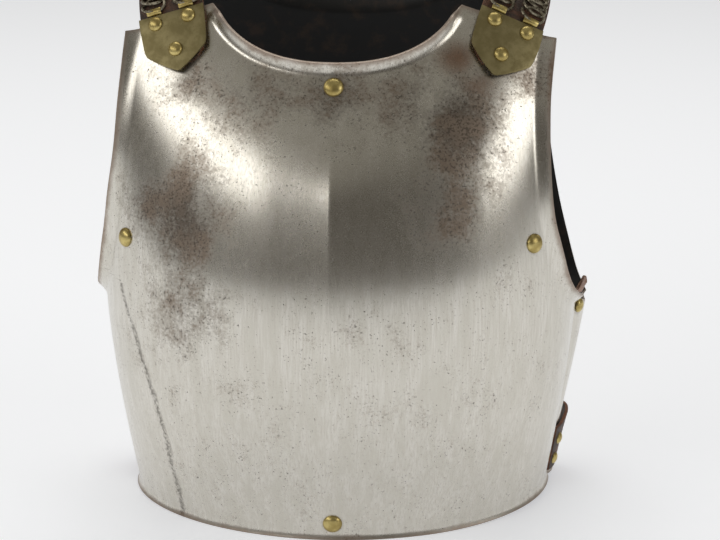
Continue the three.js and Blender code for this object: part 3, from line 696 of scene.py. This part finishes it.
for name, strap in STRAPS.items():
    piece = strap_sheet(
        f"{name}_strap_end_plate", strap, BRASS_OUTLINE, np.linspace(-1, 1, 15), 0, BRASS_LOW,
        BRASS_LOW + BRASS_THICKNESS, [OLIVE_BRASS], 0.45,
    )
    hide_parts(f"{name}_strap_brass_plate")

# ---------------------------------------------------------------- the chains
# Two rows of wide flat steel links lie side by side on each strap. Every link is an oval of wire, twisted so that
# it passes through its neighbours and still lies flat.
CHAIN = {"half": 10.5, "rest": 0.8, "thickness": 4.4, "spread": 12.6, "start": 14}
LINK = {"Wire": 1.2, "Half Width": 9.3, "Half Length": 6.2, "Twist": 1.1}
PITCH = 7.3
HOOKED = 3.6  # how far the end links reach into their bands


def group_with(name, sizes, material=None):
    """An empty Geometry Nodes tree with an input for each size, in metres."""
    tree = bpy.data.node_groups.new(name, "GeometryNodeTree")
    tree.interface.new_socket("Geometry", in_out="INPUT", socket_type="NodeSocketGeometry")
    for size in sizes:
        tree.interface.new_socket(size, in_out="INPUT", socket_type="NodeSocketFloat")
    tree.interface.new_socket("Finish", in_out="INPUT", socket_type="NodeSocketMaterial")
    tree.interface.new_socket("Geometry", in_out="OUTPUT", socket_type="NodeSocketGeometry")
    return tree, add(tree, "NodeGroupInput").outputs


def finish_group(tree, points, shape, given):
    """Puts the shape on every point, facing as the point says, and makes it all one mesh of the finish."""
    facing = {name: add(tree, "GeometryNodeInputNamedAttribute", {"Name": name}, data_type="FLOAT_VECTOR")
              for name in ("out", "onward")}
    turned = add(tree, "FunctionNodeAlignRotationToVector", {"Vector": facing["out"].outputs[0]}, axis="Z")
    turned = add(
        tree, "FunctionNodeAlignRotationToVector", {"Rotation": turned, "Vector": facing["onward"].outputs[0]},
        axis="Y", pivot_axis="Z",
    )
    placed = add(tree, "GeometryNodeInstanceOnPoints", {"Points": points, "Instance": shape, "Rotation": turned})
    real = add(tree, "GeometryNodeRealizeInstances", {"Geometry": placed})
    done = add(tree, "GeometryNodeSetMaterial", {"Geometry": real, "Material": given["Finish"]})
    add(tree, "NodeGroupOutput", {"Geometry": done})
    return tree


def link_tree():
    tree, given = group_with("twisted chain links", LINK)
    circle = add(tree, "GeometryNodeCurvePrimitiveCircle", {"Resolution": 20, "Radius": 1.0}).outputs["Curve"]
    place = add(tree, "ShaderNodeSeparateXYZ", {0: add(tree, "GeometryNodeInputPosition")})
    x = maths(tree, "MULTIPLY", place.outputs["X"], given["Half Width"])
    y = maths(tree, "MULTIPLY", place.outputs["Y"], given["Half Length"])
    both = maths(tree, "MULTIPLY", place.outputs["X"], place.outputs["Y"])
    z = maths(tree, "MULTIPLY", maths(tree, "MULTIPLY", both, 2.0), given["Twist"])
    oval = add(tree, "ShaderNodeCombineXYZ", {"X": x, "Y": y, "Z": z})
    bent = add(tree, "GeometryNodeSetPosition", {"Geometry": circle, "Position": oval})
    wire = add(tree, "GeometryNodeCurvePrimitiveCircle", {"Resolution": 6, "Radius": given["Wire"]})
    link = add(tree, "GeometryNodeCurveToMesh", {"Curve": bent, "Profile Curve": wire.outputs["Curve"]})
    return finish_group(tree, given["Geometry"], link, given)


def repeated(name, tree, sizes, points, out, onward, finish):
    """The tree's shape at each point in millimetres, as one plain piece."""
    mesh = bpy.data.meshes.new(name)
    mesh.from_pydata(((points + SHIFT) / 1000).tolist(), [], [])
    for key, value in (("out", out), ("onward", onward)):
        mesh.attributes.new(key, "FLOAT_VECTOR", "POINT").data.foreach_set("vector", value.ravel().astype("f"))
    piece = bpy.data.objects.new(name, mesh)
    bpy.context.collection.objects.link(piece)
    modifier = piece.modifiers.new("repeat", "NODES")
    modifier.node_group = tree
    for item in tree.interface.items_tree:
        if item.in_out == "INPUT" and item.name in sizes:
            modifier[item.identifier] = sizes[item.name] / 1000
        if item.in_out == "INPUT" and item.name == "Finish":
            modifier[item.identifier] = finish
    return plain(piece)


def tarnished_wire():
    material, tree, shader, here = new_material("tarnished steel wire")
    dirt = noise(tree, here, 2.2, detail=4, roughness=0.65)
    colour = mixed(tree, mask(tree, dirt, 0.4, 0.66), linear("#98917F"), linear("#4B4335"))
    rough = maths(tree, "MULTIPLY_ADD", dirt, 0.4, 0.18)
    bump = add(tree, "ShaderNodeBump", {"Height": dirt, "Strength": 0.2, "Distance": 0.0003})
    set_shader(tree, shader, base_color=colour, metallic=1.0, roughness=rough, normal=bump)
    return material


WIRE, LINKS = tarnished_wire(), link_tree()
CHAIN_MIDDLE = STRAP["thickness"] + 2.3
for name, strap in STRAPS.items():
    for row, way in (("left", -1), ("right", 1)):
        reach = LINK["Half Length"] - HOOKED
        start, end = CHAIN["start"] + reach, strap["total"] - 16 - reach
        along = np.linspace(start, end, round((end - start) / PITCH) + 1)
        points, out = above_strap(strap, 0 * along + way * CHAIN["spread"], along, 0 * along + CHAIN_MIDDLE)
        onward = unit(np.gradient(points, axis=0))
        piece = repeated(f"{name}_strap_links_{row}", LINKS, LINK, points, out, onward, WIRE)
        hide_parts(f"{name}_strap_chain_{row}")

# ---------------------------------------------------------------- the tabs that hold the chains
# Each row of chain ends in a band of brass rolled round the wire of its last link, and tucked under the end plate
# in front and riveted down behind.
TAB = {"half": 5.6, "length": 6.5, "thickness": 3.6, "sheet": 0.9}


def band_outline(start, end, thinner):
    """The arched outline of a band seen from its side, as distances along the strap and heights."""
    turn = np.radians(np.linspace(180, 0, 13))
    half = (end - start) / 2 - math.copysign(thinner, end - start)
    rise = TAB["thickness"] - thinner
    return (start + end) / 2 + half * np.cos(turn), BRASS_LOW + rise * np.sin(turn) ** 0.7


for name, strap in STRAPS.items():
    for row, way in (("left", -1), ("right", 1)):
        ends = {"front": (CHAIN["start"] - 6.8, CHAIN["start"] - 0.3),
                "back": (strap["total"] - 9.2, strap["total"] - 15.7)}
        for place, (start, end) in ends.items():
            across = way * CHAIN["spread"] + np.linspace(-TAB["half"], TAB["half"], 4)
            grids = []
            for thinner in (0, TAB["sheet"]):
                along, height = band_outline(start, end, thinner)
                shape = np.broadcast_arrays(across[None, :], along[:, None], height[:, None])
                grids.append(above_strap(strap, *shape)[0])
            piece = shell(f"{name}_strap_band_{place}_{row}", *grids, [BRIGHT_BRASS], bevel=0.2)
            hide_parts(f"{name}_strap_tab_{place}_{row}")

# The last link at the front of the outer row on the left has been pulled open: its free end stands out sideways.
OPEN_LINK = table(
    "across along height",
    (8, 11.5, 5.0), (14, 10.8, 5.2), (19.5, 10.2, 5.4), (23.5, 11.2, 6.0), (26.5, 14.0, 6.8), (27.6, 17.0, 7.4),
)


def bent_wire(name, path, radius, finish):
    """A wire along a smooth path in millimetres, with rounded ends, as one plain piece."""
    curve = bpy.data.curves.new(name, "CURVE")
    curve.dimensions, curve.bevel_depth, curve.use_fill_caps = "3D", radius / 1000, True
    curve.bevel_resolution = curve.resolution_u = 4
    spline = curve.splines.new("NURBS")
    spline.points.add(len(path) - 1)
    for point, place in zip(spline.points, (path + SHIFT) / 1000):
        point.co = (*place, 1)
    spline.use_endpoint_u, spline.order_u = True, 3
    drawn = bpy.data.objects.new(name + "_path", curve)
    mesh = bpy.data.meshes.new_from_object(drawn)
    bpy.data.objects.remove(drawn)
    mesh.materials.append(finish)
    piece = bpy.data.objects.new(name, mesh)
    bpy.context.collection.objects.link(piece)
    return plain(piece)


path, _ = above_strap(STRAPS["left"], *OPEN_LINK.values())
bent_wire("left_strap_open_link", path, LINK["Wire"], WIRE)

# ---------------------------------------------------------------- the rivets
# Solid brass rivets with domed heads, hammered flat behind the plate. The breastplate carries four large ones, and
# smaller ones hold the straps, the lining and what is left of the belt.
RIVET = {
    "breast": {"Head Radius": 7.6, "Head Rise": 4.4, "Shank": 2.2},
    "strap": {"Head Radius": 5.8, "Head Rise": 3.6, "Shank": 1.8},
    "back": {"Head Radius": 6, "Head Rise": 3.4, "Shank": 1.8},
    "belt": {"Head Radius": 5, "Head Rise": 2.6, "Shank": 1.6},
}


def rivet_tree():
    tree, given = group_with("domed rivets", {**RIVET["belt"], "Grip": 0})
    ball = add(tree, "GeometryNodeMeshUVSphere", {"Segments": 28, "Rings": 16, "Radius": 1.0}).outputs["Mesh"]
    place = add(tree, "ShaderNodeSeparateXYZ", {0: add(tree, "GeometryNodeInputPosition")})
    x = maths(tree, "MULTIPLY", place.outputs["X"], given["Head Radius"])
    y = maths(tree, "MULTIPLY", place.outputs["Y"], given["Head Radius"])
    top = maths(tree, "MULTIPLY", maths(tree, "MAXIMUM", place.outputs["Z"], 0.0), given["Head Rise"])
    under = maths(tree, "MULTIPLY", maths(tree, "MINIMUM", place.outputs["Z"], 0.0), 0.0003)
    head = add(tree, "GeometryNodeSetPosition", {
        "Geometry": ball,
        "Position": add(tree, "ShaderNodeCombineXYZ", {"X": x, "Y": y, "Z": maths(tree, "ADD", top, under)}),
    })
    shank = add(tree, "GeometryNodeMeshCylinder", {"Vertices": 16, "Radius": given["Shank"], "Depth": given["Grip"]})
    down = add(tree, "ShaderNodeCombineXYZ", {"Z": maths(tree, "MULTIPLY", given["Grip"], -0.5)})
    shank = add(tree, "GeometryNodeSetPosition", {"Geometry": shank.outputs["Mesh"], "Offset": down})
    joined = add(tree, "GeometryNodeJoinGeometry", {"Geometry": head})
    tree.links.new(shank.outputs[0], joined.inputs[0])
    return finish_group(tree, given["Geometry"], joined, given)


RIVET_TREE = rivet_tree()


def rivets(name, kind, grip, frames, nodes):
    """One piece with a rivet of a kind at every frame: a point, and the way its head faces."""
    points, out = (np.array([f[k] for f in frames]).reshape(-1, 3) for k in (0, 1))
    onward = unit(np.cross(out, (1, 0, 0)))
    piece = repeated(name, RIVET_TREE, {**RIVET[kind], "Grip": grip}, points, out, onward, BRIGHT_BRASS)
    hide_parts(*nodes)


def frame_on(plate, turn, z, lips, above=0):
    return on_plate(plate, -1 if turn < 0 else 1, np.array([abs(turn)]) + 0.0, np.array([z]) + 0.0, lips, above)


lips = ["armhole", "neck"]
front = [frame_on(BREAST, *place, lips) for place in RIVETS["breastplate"]]
rivets("breastplate_rivets", "breast", BREAST["thickness"], front,
       [f"breast_rivet_{k}" for k in ("neck", "left", "right", "bottom")])
behind = [frame_on(BACK, *place, lips) for place in RIVETS["backplate"]]
rivets("backplate_rivets", "back", BACK["thickness"], behind,
       [f"back_rivet_{k}" for k in ("neck", "bottom", "wing_left", "wing_right")])
for name, strap in STRAPS.items():
    across, along = np.array([-13.0, 13.0, 0.0]) * -strap["side"], np.array([0.0, 0.0, -24.5])
    top = BRASS_LOW + BRASS_THICKNESS
    points, out = above_strap(strap, across, along, 0 * along + top)
    rivets(f"{name}_strap_end_plate_rivets", "strap", top + STRAP["rest"] + BREAST["thickness"],
           list(zip(points, out)), [f"{name}_strap_rivet_{k}" for k in ("inner", "outer", "lower")])
    points, out = above_strap(strap, np.array([-11.0, 11.0]), np.full(2, strap["total"] + 5), np.full(2, 3.0))
    rivets(f"{name}_strap_back_end_rivets", "back", STRAP["thickness"] + STRAP["rest"] + BACK["thickness"],
           list(zip(points, out)), [f"{name}_strap_back_rivet_{k}" for k in ("left", "right")])

# ---------------------------------------------------------------- what is left of the waist belt
# A stub of the belt is still riveted to each side of the backplate near its lower edge. Its free end is torn, and
# its leather is dry, dark and curled.
BELT = {"thickness": 3, "rest": 0.8, "from": 106, "to": 74}
BELTS = {
    "left": {"side": -1, "low": 4, "high": 57, "drop": 3, "curl": 8, "rivets": [(98, 42), (98, 19)]},
    "right": {"side": 1, "low": 10, "high": 55, "drop": 6, "curl": 8, "rivets": [(100, 37), (101, 20)]},
}


def belt_layer(belt, above):
    turn, share = np.meshgrid(np.linspace(BELT["from"], BELT["to"], 33), np.linspace(0, 1, 25))
    front = smoothstep(turn, BELT["to"], 96)
    z = belt["low"] + (belt["high"] - belt["drop"] * front - belt["low"]) * share
    return on_plate(BACK, belt["side"], turn, z, ["hem"], (above + belt["curl"] * (1 - front) * share)[..., None])[0]


for name, belt in BELTS.items():
    layers = [belt_layer(belt, BELT["rest"] + t) for t in (BELT["thickness"], 0)]
    piece = shell(f"{name}_belt_stub", *layers, [LEATHER, RED_LEATHER], (0, 0, 1), bevel=0.8)
    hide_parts(f"{name}_belt_leather")
    places = [(belt["side"] * turn, z) for turn, z in belt["rivets"]]
    frames = [frame_on(BACK, *place, ["hem"], BELT["rest"] + BELT["thickness"]) for place in places]
    rivets(f"{name}_belt_rivets", "belt", BELT["rest"] + BELT["thickness"] + BACK["thickness"], frames,
           [f"{name}_belt_rivet_{k}" for k in ("upper", "lower")])

# ---------------------------------------------------------------- the tongue of the lining
# The padding inside is gone but for this tongue of thin tanned leather, held by the rivet at the right armpit. It
# stands up past the lip of the backplate.
TONGUE = {"thickness": 2.2, "rest": 2.9, "from": 110, "to": 95, "low": 133, "flare": 7, "rise": 23}
TONGUE_EDGE = 154


def tongue_layer(above):
    turns = np.linspace(TONGUE["from"], TONGUE["to"], 17)
    turn, share = np.meshgrid(turns, np.linspace(0, 1, 13))
    z = TONGUE["low"] + (TONGUE_EDGE - 2 - TONGUE["low"]) * share
    inside = on_plate(BACK, 1, turn, z, ["armhole"], above)[0]
    top, beyond = inside[-1], []
    for share in np.linspace(0.1, 1, 10):
        bend = np.linspace(-2, 2, 17) ** 2 / 4
        rise = TONGUE["rise"] * (1 - 0.35 * share * bend)
        out = np.stack([0 * rise + TONGUE["flare"], 0 * rise, rise], axis=-1) * share
        row = top + out
        narrowing = 1 - math.sqrt(1 - 0.6 * share**6)
        row[:, :2] += (row[8, :2] - row[:, :2]) * narrowing
        beyond.append(row)
    return np.concatenate([inside, beyond])


LINING = oiled_leather("faded lining leather", "#8D6A57", "#A8826C", "#BBA08A")
under = -BACK["thickness"] - TONGUE["rest"]
piece = shell("lining_tongue", tongue_layer(under), tongue_layer(under - TONGUE["thickness"]), [LINING], bevel=0.6)
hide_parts("right_lining_tongue")

# ---------------------------------------------------------------- the floor, the light and the camera
# A pale sweep of paper, two soft boxes in front, and a dim studio round them, so that the steel has something dark
# to reflect as well as something bright.
CAMERA = {"at": (97.9, -1697, 640), "towards": (15, 1, 183), "lens": 107.8}  # where it stands and aims, in mm


def pale_paper():
    material, tree, shader, here = new_material("pale paper")
    fibre = noise(tree, here, 4, detail=2)
    colour = mixed(tree, fibre, linear("#E6E8EA"), linear("#ECEEF0"))
    set_shader(tree, shader, base_color=colour, roughness=0.9, emission_color=linear("#F0F2F8"), emission_strength=0.45)
    return material


floor = bpy.data.meshes.new("floor")
rim = [(9 * math.cos(a), 9 * math.sin(a), 0) for a in np.linspace(0, 2 * math.pi, 64, endpoint=False)]
floor.from_pydata(rim, [], [list(range(64))])
floor.materials.append(pale_paper())
paper = bpy.data.objects.new("floor", floor)
bpy.context.collection.objects.link(paper)

# Soft boxes: the bearing to the left of the front, the height above the horizon, the distance and size in metres,
# and how bright the box looks.
SOFT_BOXES = [
    {"name": "soft_box_left", "bearing": 58, "height": 27, "distance": 3.2, "wide": 4.3, "tall": 0.9, "bright": 2.3},
    {"name": "soft_box_right", "bearing": -66, "height": 19, "distance": 3.2, "wide": 1.6, "tall": 1.2, "bright": 2.3},
    {"name": "soft_box_behind", "bearing": 178, "height": 62, "distance": 3.4, "wide": 2.6, "tall": 2.2, "bright": 2.0},
]
CHEST = (0, -0.1, 0.28)  # where the bearings and heights of the lights are measured from
for box in SOFT_BOXES:
    light = bpy.data.lights.new(box["name"], "AREA")
    light.shape, light.size, light.size_y = "RECTANGLE", box["wide"], box["tall"]
    light.energy = box["bright"] * math.pi * box["wide"] * box["tall"]
    light.color = (1, 0.992, 0.98)
    b, h = math.radians(box["bearing"]), math.radians(box["height"])
    lamp = bpy.data.objects.new(box["name"], light)
    away = type(lamp.location)((-math.sin(b) * math.cos(h), -math.cos(b) * math.cos(h), math.sin(h)))
    lamp.location = away * box["distance"] + type(away)(CHEST)
    lamp.visible_camera = False
    lamp.rotation_euler = away.to_track_quat("Z", "Y").to_euler()
    bpy.context.collection.objects.link(lamp)


def dim_studio():
    world = bpy.data.worlds.new("dim studio")
    world.use_nodes = True
    tree = world.node_tree
    way = add(tree, "ShaderNodeSeparateXYZ", {0: add(tree, "ShaderNodeTexCoord").outputs["Generated"]})
    high = mask(tree, way.outputs["Z"], 0.36, 0.6)
    behind = mask(tree, way.outputs["Y"], 0.0, 0.5)
    bright = maths(tree, "MAXIMUM", high, behind)
    shade = mixed(tree, bright, linear("#58544E"), linear("#8F8C85"))
    seen = add(tree, "ShaderNodeLightPath").outputs["Is Camera Ray"]
    shade = mixed(tree, seen, shade, linear("#EEF0F2"))
    tree.links.new(shade, tree.nodes["Background"].inputs["Color"])
    return world


bpy.context.scene.world = dim_studio()
bpy.context.scene.view_settings.view_transform = "Standard"

eye = bpy.data.cameras.new("camera")
eye.lens, eye.sensor_width, eye.clip_end = CAMERA["lens"], 36, 100
camera = bpy.data.objects.new("camera", eye)
camera.location = (np.array(CAMERA["at"]) + SHIFT) / 1000
aim = np.array(CAMERA["towards"]) - np.array(CAMERA["at"])
camera.rotation_euler = type(camera.location)(aim).to_track_quat("-Z", "Y").to_euler()
bpy.context.collection.objects.link(camera)
bpy.context.scene.camera = camera

bpy.context.view_layer.update()
